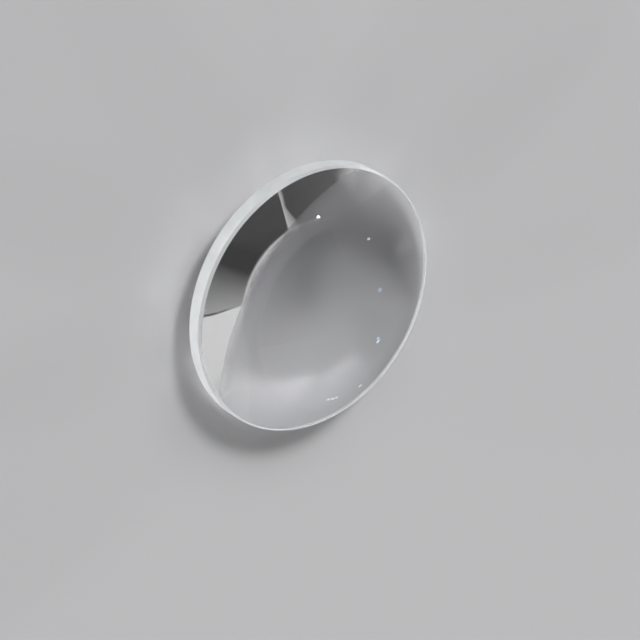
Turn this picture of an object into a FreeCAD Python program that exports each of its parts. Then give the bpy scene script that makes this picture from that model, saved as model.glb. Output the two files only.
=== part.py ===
"""A biconvex singlet lens: one disc of clear optical glass, 25.4 mm across, of about 38 mm focal length.

Two polished faces bulge out from a fine-ground cylindrical edge.
A narrow 45 degree bevel protects the corner between each face and the edge.
Millimetres. The optical axis is +Z and the origin is the vertex of the rear face, on which the lens rests.
"""

import os

import FreeCAD
import Part

# Driving dimensions, in millimetres
DIAMETER = 25.4
FRONT_RADIUS = 38.3
REAR_RADIUS = 38.3
CENTRE_THICKNESS = 6.0
BEVEL_LEG = 0.22

PARTS_FOLDER = "parts"
REAR_VERTEX = FreeCAD.Vector(0, 0, 0)
OPTICAL_AXIS = FreeCAD.Vector(0, 0, 1)
SIDEWAYS = FreeCAD.Vector(1, 0, 0)
FULL_TURN = 360.0

# Sizes that follow from them
EDGE_RADIUS = DIAMETER / 2
FACE_RADIUS = EDGE_RADIUS - BEVEL_LEG


def sag(curvature_radius):
    """How far a polished face falls back along the axis between its vertex and its rim."""
    return curvature_radius - (curvature_radius**2 - FACE_RADIUS**2) ** 0.5


def bevelled_edge():
    """The ground cylinder between two 45 degree cones, of which the faces leave only the bevels."""
    rear_rim = sag(REAR_RADIUS)
    front_rim = CENTRE_THICKNESS - sag(FRONT_RADIUS)
    half_section = [
        (0, rear_rim - FACE_RADIUS),
        (EDGE_RADIUS, rear_rim + BEVEL_LEG),
        (EDGE_RADIUS, front_rim - BEVEL_LEG),
        (0, front_rim + FACE_RADIUS),
    ]
    corners = [FreeCAD.Vector(height, 0, along) for height, along in half_section]
    outline = Part.makePolygon(corners + corners[:1])
    return Part.Face(outline).revolve(REAR_VERTEX, OPTICAL_AXIS, FULL_TURN)


def rear_ball():
    """The ball whose surface is the rear face. It lies sideways, with its poles and seam clear of that face."""
    centre = REAR_VERTEX + OPTICAL_AXIS * REAR_RADIUS
    return Part.makeSphere(REAR_RADIUS, centre, SIDEWAYS)


def front_ball():
    """The ball whose surface is the front face. It lies the other way round, so that its seam is clear too."""
    centre = REAR_VERTEX + OPTICAL_AXIS * (CENTRE_THICKNESS - FRONT_RADIUS)
    return Part.makeSphere(FRONT_RADIUS, centre, -SIDEWAYS)


def make_lens():
    """The whole lens: what the bevelled edge and both balls have in common."""
    common = bevelled_edge().common(rear_ball()).common(front_ball())
    return common.Solids[0]


def main():
    os.makedirs(PARTS_FOLDER, exist_ok=True)
    make_lens().exportStep(os.path.join(PARTS_FOLDER, "lens.step"))


main()
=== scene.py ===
"""A biconvex singlet lens of clear optical glass, lying on its rear face on a pale floor in a soft light.

Metres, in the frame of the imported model: the optical axis is +Z, and the origin is the rear face's vertex.
"""

import math

import bpy
from mathutils import Matrix, Vector

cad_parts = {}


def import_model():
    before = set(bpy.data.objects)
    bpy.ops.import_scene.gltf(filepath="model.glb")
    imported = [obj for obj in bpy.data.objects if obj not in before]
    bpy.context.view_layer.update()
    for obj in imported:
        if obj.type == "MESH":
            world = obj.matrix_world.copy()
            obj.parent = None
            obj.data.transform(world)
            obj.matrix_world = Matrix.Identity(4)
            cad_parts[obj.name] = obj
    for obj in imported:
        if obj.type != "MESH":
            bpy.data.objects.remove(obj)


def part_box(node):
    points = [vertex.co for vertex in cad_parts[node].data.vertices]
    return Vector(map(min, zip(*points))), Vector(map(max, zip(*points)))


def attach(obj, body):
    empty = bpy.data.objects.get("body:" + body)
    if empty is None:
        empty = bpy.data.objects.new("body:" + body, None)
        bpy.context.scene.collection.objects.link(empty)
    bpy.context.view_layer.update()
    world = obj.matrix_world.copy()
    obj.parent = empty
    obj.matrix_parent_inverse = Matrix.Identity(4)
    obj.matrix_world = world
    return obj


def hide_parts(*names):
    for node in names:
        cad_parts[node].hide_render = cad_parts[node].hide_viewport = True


MM = 0.001

# The lens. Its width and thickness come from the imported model.
CURVATURE_RADIUS = 38.3 * MM
BEVEL_LEG = 0.22 * MM
FACE_CELLS = 96
EDGE_BANDS = 6

# The glass
GLASS_INDEX = 1.517
GLASS_TINT = (0.986, 0.987, 0.994, 1)

# The few specks of dust, with radii in parts of the distance between them
SPECK_SCALE = 310
SPECK_RADII = (0.008, 0.012)
SPECK_ROUGHNESS = 0.6

# The ground glass: two colours, the share of light that glows through it, and the roughness of each finish
GROUND_WHITE = (0.585, 0.595, 0.6, 1)
GROUND_GREY = (0.52, 0.53, 0.535, 1)
GLOW_SHARE = 0.35
EDGE_TRANSMISSION = 0.4
EDGE_ROUGHNESS = (0.55, 0.7)
BEVEL_TRANSMISSION = 0.6
BEVEL_ROUGHNESS = (0.35, 0.5)
GRAIN_SCALE = 9000
GRAIN_DEPTH = 0.02 * MM
GRAIN_STRENGTH = 0.25
CLOUD_SCALE = 500
# Nearly all values of a noise lie in this span
NOISE_SPAN = (0.3, 0.7)

# The photograph's view, from a fit of the ground edge's outline: where the camera stands from the middle of
# the cylinder's front end, in lens radii, with x to the right of the picture, y up and z to the camera.
TO_CAMERA = Vector((0.033, -0.144, 21.13))
AXIS_TILT = math.radians(44.1)
AXIS_ROLL = math.radians(-31.05)
FOCAL_LENGTH = 168.75
SENSOR_WIDTH = 36
NEAREST = 0.01
FARTHEST = 10

FLOOR_HALF_WIDTH = 3.0
FLOOR_COLOUR = (0.52, 0.52, 0.53, 1)
FLOOR_ROUGHNESS = 0.9

# Light that turns back inside the glass counts as glossy, so it needs as many turns as light going through.
LIGHT_TURNS = 24
GLASS_TURNS = 16
LIGHT_MAP_WIDTH = 1024

# The studio, which is all in the world: azimuth, elevation and radius of each lamp in degrees, and its
# brightness. A lamp's rim is blurred over a part of its radius.
# The soft boxes light the lens, and the glass doesn't show them.
SOFT_BOXES = [
    (-126, 42, 6, 44),
    (-122, 30, 13, 2.8),
    (-152, 25, 12, 3.4),
    (-98, 30, 12, 4),
    (60, 22, 11, 2.5),
    (35, 3, 3, 110),
    (5, 3, 3, 185),
    (-25, 3, 3, 170),
    (-60, 3, 3, 190),
    (165, 3, 3, 60),
    (135, 3, 3, 190),
    (100, 3, 3, 250),
]
SOFT_BOX_BLUR = 0.45
AMBIENT = 0.03
# The glass shows the small lamps as its highlights, white and cool.
SMALL_LAMPS = [
    (57.3, 38.7, 1, 60),
    (-136, 44, 1.6, 45),
    (-105, 39.5, 1.3, 7),
    (-109, 40, 1.3, 10),
    (-113, 40.5, 1.3, 7),
]
COOL_LAMPS = [
    (88, 69, 1.3, 7),
    (-174, 70, 1.2, 22),
    (-178, 72, 1, 14),
]
SMALL_LAMP_BLUR = 0.1
WHITE_LIGHT = (1, 1, 1, 1)
COOL_LIGHT = (0.5, 0.76, 1, 1)

# The room that the glass shows. Azimuths and widths are in degrees, and a height is an elevation's sine.
# It grows dark between two azimuths, and ends beside the wall.
ROOM_FADE = (-33, -8)
ROOM_BRIGHTNESS = (0.33, 0.035)
ROOM_END = (-120, -110)
PAST_END = 0.1
# The wall's edge leans between two heights, and the gap beside it narrows there.
EDGE_HEIGHTS = (0.59, 0.725)
EDGE_AZIMUTHS = (-33.9, -32)
EDGE_BLUR = 0.3
WALL_END = (-110, -100)
WALL_TOP = (0.85, 0.95)
WALL_BRIGHTNESS = 0.64
GAP_WIDTHS = (0.9, 0.05)
GAP_START = (-1, -0.5)
GAP_BLUR = 0.3
GAP_BRIGHTNESS = 0.1
# The window widens between two heights, and grows dim across.
WINDOW_AZIMUTH = 34
WINDOW_HEIGHTS = (0.6, 0.7)
WINDOW_WIDTHS = (2, 10)
WINDOW_NEAR_BLUR = 0.05
WINDOW_FAR_BLUR = 0.1
WINDOW_TOP = (0.8, 0.9)
WINDOW_BRIGHTNESS = (0.45, 0.12)
# Low down the room is pale, as the floor is.
LOW_HEIGHTS = (0.05, 0.25)
LOW_BRIGHTNESS = 0.5


def disc_grid(cells):
    """Points of a square grid pressed into the unit circle, so that the disc has no pole in its middle."""
    points = []
    for row in range(cells + 1):
        for column in range(cells + 1):
            a = 2 * column / cells - 1
            b = 2 * row / cells - 1
            if abs(a) > abs(b):
                radius, angle = a, math.pi / 4 * b / a
            elif b:
                radius, angle = b, math.pi / 2 - math.pi / 4 * a / b
            else:
                radius, angle = 0, 0
            points.append((radius * math.cos(angle), radius * math.sin(angle)))
    return points


def grid_rim(cells):
    """Indices of the grid's outer points, once round anticlockwise."""
    side = cells + 1
    rim = list(range(cells))
    rim += [row * side + cells for row in range(cells)]
    rim += [cells * side + column for column in range(cells, 0, -1)]
    rim += [row * side for row in range(cells, 0, -1)]
    return rim


class LensMesh:
    """The closed surface of the lens: vertices, faces, and for each face its finish and exact normals."""

    POLISHED = 0
    GROUND = 1
    BEVEL = 2

    def __init__(self, radius, rear_vertex, front_vertex):
        self.radius = radius
        self.rear_vertex = rear_vertex
        self.front_vertex = front_vertex
        self.face_radius = radius - BEVEL_LEG
        self.vertices = []
        self.faces = []
        self.finishes = []
        self.normals = []

    def add_face(self, corners, finish, normal_at):
        self.faces.append(corners)
        self.finishes.append(finish)
        self.normals.extend(normal_at(self.vertices[corner]) for corner in corners)

    def add_polished_face(self, front):
        """Adds a face that is part of a ball, and returns its rim."""
        way = 1 if front else -1
        vertex = self.front_vertex if front else self.rear_vertex
        centre = Vector((0, 0, vertex - way * CURVATURE_RADIUS))
        first = len(self.vertices)
        for x, y in disc_grid(FACE_CELLS):
            across = Vector((x * self.face_radius, y * self.face_radius, 0))
            along = math.sqrt(CURVATURE_RADIUS**2 - across.length_squared)
            self.vertices.append(centre + across + Vector((0, 0, way * along)))

        def normal_at(point):
            return (point - centre).normalized()

        side = FACE_CELLS + 1
        for row in range(FACE_CELLS):
            for column in range(FACE_CELLS):
                corner = first + row * side + column
                corners = (corner, corner + 1, corner + side + 1, corner + side)
                self.add_face(corners if front else corners[::-1], self.POLISHED, normal_at)
        return [first + index for index in grid_rim(FACE_CELLS)]

    def add_ring(self, rim, z):
        """Adds a ring of vertices on the ground cylinder, at the angles of a face's rim."""
        first = len(self.vertices)
        for index in rim:
            across = self.vertices[index].xy.normalized() * self.radius
            self.vertices.append(across.to_3d() + Vector((0, 0, z)))
        return list(range(first, len(self.vertices)))

    def add_band(self, lower, upper, finish, rise):
        """Joins two rings by faces whose normal leans up by the angle rise."""

        def normal_at(point):
            out = point.xy.normalized() * math.cos(rise)
            return Vector((out.x, out.y, math.sin(rise)))

        count = len(lower)
        for here in range(count):
            there = (here + 1) % count
            corners = (lower[here], lower[there], upper[there], upper[here])
            self.add_face(corners, finish, normal_at)

    def build(self):
        rear_rim = self.add_polished_face(front=False)
        front_rim = self.add_polished_face(front=True)
        bottom = self.vertices[rear_rim[0]].z + BEVEL_LEG
        top = self.vertices[front_rim[0]].z - BEVEL_LEG
        heights = [bottom + (top - bottom) * band / EDGE_BANDS for band in range(EDGE_BANDS + 1)]
        rings = [self.add_ring(rear_rim, height) for height in heights]
        self.add_band(rear_rim, rings[0], self.BEVEL, -math.pi / 4)
        for lower, upper in zip(rings, rings[1:]):
            self.add_band(lower, upper, self.GROUND, 0)
        self.add_band(rings[-1], front_rim, self.BEVEL, math.pi / 4)


def node_maker(tree):
    """A function that adds a node to a tree, sets its inputs by name, and returns it."""

    def add(kind, **inputs):
        node = tree.nodes.new(kind)
        for name, value in inputs.items():
            socket = node.inputs[name.replace("_", " ")]
            if isinstance(value, bpy.types.NodeSocket):
                tree.links.new(value, socket)
            else:
                socket.default_value = value
        return node

    return add


def new_material(name):
    material = bpy.data.materials.new(name)
    material.use_nodes = True
    tree = material.node_tree
    tree.nodes.clear()
    return material, tree, node_maker(tree)


def ramp(add, value, low, high, start, end):
    """A value that goes from start to end as another one goes from low to high."""
    node = add("ShaderNodeMapRange", Value=value)
    for name, number in zip(("From Min", "From Max", "To Min", "To Max"), (low, high, start, end)):
        node.inputs[name].default_value = number
    return node.outputs["Result"]


def rise(add, value, low, high):
    """0 up to low and 1 from high on."""
    return ramp(add, value, low, high, 0, 1)


def fall(add, value, low, high):
    """1 up to low and 0 from high on."""
    return ramp(add, value, low, high, 1, 0)


def maths(add, operation, first, second=0.0):
    """The result of a sum on one or two values, each a number or a socket."""
    node = add("ShaderNodeMath")
    node.operation = operation
    for socket, value in zip(node.inputs, (first, second)):
        if isinstance(value, bpy.types.NodeSocket):
            node.id_data.links.new(value, socket)
        else:
            socket.default_value = value
    return node.outputs[0]


def product(add, *factors):
    total = factors[0]
    for factor in factors[1:]:
        total = maths(add, "MULTIPLY", total, factor)
    return total


def mix(add, factor, first, second):
    """A value that goes from the first to the second as the factor goes from 0 to 1."""
    node = add("ShaderNodeMix", Factor=factor)
    for name, value in (("A", first), ("B", second)):
        if isinstance(value, bpy.types.NodeSocket):
            node.id_data.links.new(value, node.inputs[name])
        else:
            node.inputs[name].default_value = value
    return node.outputs["Result"]


def mix_colours(add, factor, first, second):
    """A colour that goes from the first to the second as the factor goes from 0 to 1."""
    node = add("ShaderNodeMix")
    node.data_type = "RGBA"
    factor_input = next(socket for socket in node.inputs if socket.enabled)
    colour_inputs = [socket for socket in node.inputs if socket.type == "RGBA"]
    node.id_data.links.new(factor, factor_input)
    for socket, colour in zip(colour_inputs, (first, second)):
        socket.default_value = colour
    return next(socket for socket in node.outputs if socket.type == "RGBA")


def polished_glass():
    """Clear glass with no grain, but for the few specks of dust that the photograph shows."""
    material, tree, add = new_material("polished_glass")
    place = add("ShaderNodeTexCoord").outputs["Object"]
    specks = add("ShaderNodeTexVoronoi", Vector=place, Scale=SPECK_SCALE, Randomness=1)
    shader = add(
        "ShaderNodeBsdfPrincipled",
        Base_Color=GLASS_TINT,
        Roughness=ramp(add, specks.outputs["Distance"], *SPECK_RADII, SPECK_ROUGHNESS, 0),
        IOR=GLASS_INDEX,
        Transmission_Weight=1,
    )
    output = add("ShaderNodeOutputMaterial")
    tree.links.new(shader.outputs["BSDF"], output.inputs["Surface"])
    return material


def ground_glass(name, transmission, roughness):
    """Fine-ground glass that glows from within, in two colours that change in soft clouds."""
    material, tree, add = new_material(name)
    place = add("ShaderNodeTexCoord").outputs["Object"]
    grain = add("ShaderNodeTexNoise", Vector=place, Scale=GRAIN_SCALE, Detail=3, Roughness=0.6)
    grain = grain.outputs["Fac"]
    clouds = add("ShaderNodeTexNoise", Vector=place, Scale=CLOUD_SCALE, Detail=2, Roughness=0.5)
    clouds = clouds.outputs["Fac"]
    colour = mix_colours(add, rise(add, clouds, *NOISE_SPAN), GROUND_GREY, GROUND_WHITE)
    bump = add("ShaderNodeBump", Strength=GRAIN_STRENGTH, Distance=GRAIN_DEPTH, Height=grain)
    surface = add(
        "ShaderNodeBsdfPrincipled",
        Base_Color=colour,
        Roughness=ramp(add, grain, *NOISE_SPAN, *roughness),
        IOR=GLASS_INDEX,
        Transmission_Weight=transmission,
        Normal=bump.outputs["Normal"],
    )
    glow = add("ShaderNodeBsdfTranslucent", Color=colour)
    both = add("ShaderNodeMixShader", Fac=GLOW_SHARE)
    tree.links.new(surface.outputs["BSDF"], both.inputs[1])
    tree.links.new(glow.outputs["BSDF"], both.inputs[2])
    output = add("ShaderNodeOutputMaterial")
    tree.links.new(both.outputs["Shader"], output.inputs["Surface"])
    return material


def make_lens():
    low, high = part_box("lens")
    shape = LensMesh((high.x - low.x) / 2, low.z, high.z)
    shape.build()
    mesh = bpy.data.meshes.new("lens_glass")
    mesh.from_pydata(shape.vertices, [], shape.faces)
    mesh.materials.append(polished_glass())
    mesh.materials.append(ground_glass("ground_glass", EDGE_TRANSMISSION, EDGE_ROUGHNESS))
    mesh.materials.append(ground_glass("bevel_glass", BEVEL_TRANSMISSION, BEVEL_ROUGHNESS))
    mesh.polygons.foreach_set("material_index", shape.finishes)
    mesh.shade_smooth()
    mesh.normals_split_custom_set(shape.normals)
    mesh.validate()
    lens = bpy.data.objects.new("lens_glass", mesh)
    bpy.context.collection.objects.link(lens)
    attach(lens, "root")
    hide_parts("lens")


def make_camera():
    """A camera that sees the lens as the photograph does. The lens lies flat, so the camera is rolled."""
    low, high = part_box("lens")
    radius = (high.x - low.x) / 2
    to_camera = TO_CAMERA.normalized()
    # The frame's axes, as the camera sees them
    up = Vector((
        math.sin(AXIS_TILT) * math.cos(AXIS_ROLL),
        math.sin(AXIS_TILT) * math.sin(AXIS_ROLL),
        math.cos(AXIS_TILT),
    ))
    back = (up * to_camera.dot(up) - to_camera).normalized()
    aside = back.cross(up)
    turn = Matrix((aside, back, up))
    sag = CURVATURE_RADIUS - math.sqrt(CURVATURE_RADIUS**2 - (radius - BEVEL_LEG) ** 2)
    aim = Vector((0, 0, high.z - sag - BEVEL_LEG))
    data = bpy.data.cameras.new("camera")
    data.lens = FOCAL_LENGTH
    data.sensor_width = SENSOR_WIDTH
    data.clip_start = NEAREST
    data.clip_end = FARTHEST
    camera = bpy.data.objects.new("camera", data)
    camera.matrix_world = Matrix.Translation(aim + turn @ TO_CAMERA * radius) @ turn.to_4x4()
    bpy.context.collection.objects.link(camera)
    bpy.context.scene.camera = camera


def make_floor():
    half = FLOOR_HALF_WIDTH
    mesh = bpy.data.meshes.new("floor")
    corners = [(-half, -half, 0), (half, -half, 0), (half, half, 0), (-half, half, 0)]
    mesh.from_pydata(corners, [], [(0, 1, 2, 3)])
    material, tree, add = new_material("floor_paint")
    shader = add("ShaderNodeBsdfPrincipled", Base_Color=FLOOR_COLOUR, Roughness=FLOOR_ROUGHNESS)
    output = add("ShaderNodeOutputMaterial")
    tree.links.new(shader.outputs["BSDF"], output.inputs["Surface"])
    mesh.materials.append(material)
    floor = bpy.data.objects.new("floor", mesh)
    bpy.context.collection.objects.link(floor)


def direction(azimuth, elevation):
    """The way to a place seen from the lens: azimuth 0 is +Y and 90 is +X, in degrees."""
    a, e = math.radians(azimuth), math.radians(elevation)
    return Vector((math.sin(a) * math.cos(e), math.cos(a) * math.cos(e), math.sin(e)))


def lamps(add, way, table, blur):
    """The brightness of all lamps of a table together, seen in a direction."""
    total = 0.0
    for azimuth, elevation, radius, brightness in table:
        dot = add("ShaderNodeVectorMath")
        dot.operation = "DOT_PRODUCT"
        dot.id_data.links.new(way, dot.inputs[0])
        dot.inputs[1].default_value = direction(azimuth, elevation)
        inner = math.cos(math.radians(radius * (1 - blur)))
        outer = math.cos(math.radians(radius * (1 + blur)))
        total = maths(add, "ADD", ramp(add, dot.outputs["Value"], outer, inner, 0, brightness), total)
    return total


def with_wall(add, room, azimuth, height):
    """The room with its white wall, and the dark gap beside the wall's edge."""
    past_edge = maths(add, "SUBTRACT", azimuth, ramp(add, height, *EDGE_HEIGHTS, *EDGE_AZIMUTHS))
    across_gap = maths(add, "DIVIDE", past_edge, ramp(add, height, *EDGE_HEIGHTS, *GAP_WIDTHS))
    gap = product(add, fall(add, across_gap, 1, 1 + GAP_BLUR), rise(add, past_edge, *GAP_START))
    room = mix(add, gap, room, GAP_BRIGHTNESS)
    wall = product(
        add,
        fall(add, past_edge, -EDGE_BLUR, EDGE_BLUR),
        rise(add, azimuth, *WALL_END),
        fall(add, height, *WALL_TOP),
    )
    return mix(add, wall, room, WALL_BRIGHTNESS)


def with_window(add, room, azimuth, height):
    """The room with its window, a strip that starts at one azimuth."""
    width = ramp(add, height, *WINDOW_HEIGHTS, *WINDOW_WIDTHS)
    across = maths(add, "DIVIDE", maths(add, "SUBTRACT", azimuth, WINDOW_AZIMUTH), width)
    window = product(
        add,
        rise(add, across, 0, WINDOW_NEAR_BLUR),
        fall(add, across, 1 - WINDOW_FAR_BLUR, 1),
        fall(add, height, *WINDOW_TOP),
    )
    return mix(add, window, room, ramp(add, across, 0, 1, *WINDOW_BRIGHTNESS))


def room_light(add, way):
    """What the glass shows: a dim room with a white wall, a window and white lamps, and pale low down."""
    along = add("ShaderNodeSeparateXYZ", Vector=way)
    azimuth = maths(add, "DEGREES", maths(add, "ARCTAN2", along.outputs["X"], along.outputs["Y"]))
    height = along.outputs["Z"]
    room = product(
        add,
        ramp(add, azimuth, *ROOM_FADE, *ROOM_BRIGHTNESS),
        ramp(add, azimuth, *ROOM_END, PAST_END, 1),
    )
    room = with_wall(add, room, azimuth, height)
    room = with_window(add, room, azimuth, height)
    room = mix(add, fall(add, height, *LOW_HEIGHTS), room, LOW_BRIGHTNESS)
    return maths(add, "ADD", room, lamps(add, way, SMALL_LAMPS, SMALL_LAMP_BLUR))


def seen_sharply(add):
    """1 for what the camera sees of the studio, also in clear glass or through it, and 0 for other light."""
    path = add("ShaderNodeLightPath").outputs
    unscattered = maths(add, "LESS_THAN", path["Diffuse Depth"], 1)
    return maths(add, "MAXIMUM", product(add, path["Is Singular Ray"], unscattered), path["Is Camera Ray"])


def make_world():
    """The studio round the lens: soft boxes that light it, and the room that its glass shows."""
    world = bpy.data.worlds.new("studio")
    world.use_nodes = True
    tree = world.node_tree
    tree.nodes.clear()
    add = node_maker(tree)
    way = add("ShaderNodeTexCoord").outputs["Generated"]
    light = maths(add, "ADD", lamps(add, way, SOFT_BOXES, SOFT_BOX_BLUR), AMBIENT)
    seen = seen_sharply(add)
    strength = mix(add, seen, light, room_light(add, way))
    cool_strength = product(add, seen, lamps(add, way, COOL_LAMPS, SMALL_LAMP_BLUR))
    white = add("ShaderNodeBackground", Color=WHITE_LIGHT, Strength=strength)
    cool = add("ShaderNodeBackground", Color=COOL_LIGHT, Strength=cool_strength)
    both = add("ShaderNodeAddShader")
    tree.links.new(white.outputs["Background"], both.inputs[0])
    tree.links.new(cool.outputs["Background"], both.inputs[1])
    output = add("ShaderNodeOutputWorld")
    tree.links.new(both.outputs["Shader"], output.inputs["Surface"])
    world.cycles.sampling_method = "MANUAL"
    world.cycles.sample_map_resolution = LIGHT_MAP_WIDTH
    bpy.context.scene.world = world


def main():
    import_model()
    scene = bpy.context.scene
    scene.view_settings.view_transform = "Standard"
    scene.cycles.max_bounces = LIGHT_TURNS
    scene.cycles.glossy_bounces = GLASS_TURNS
    scene.cycles.transmission_bounces = GLASS_TURNS
    scene.cycles.blur_glossy = 0
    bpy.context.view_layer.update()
    make_lens()
    make_camera()
    make_floor()
    make_world()


main()
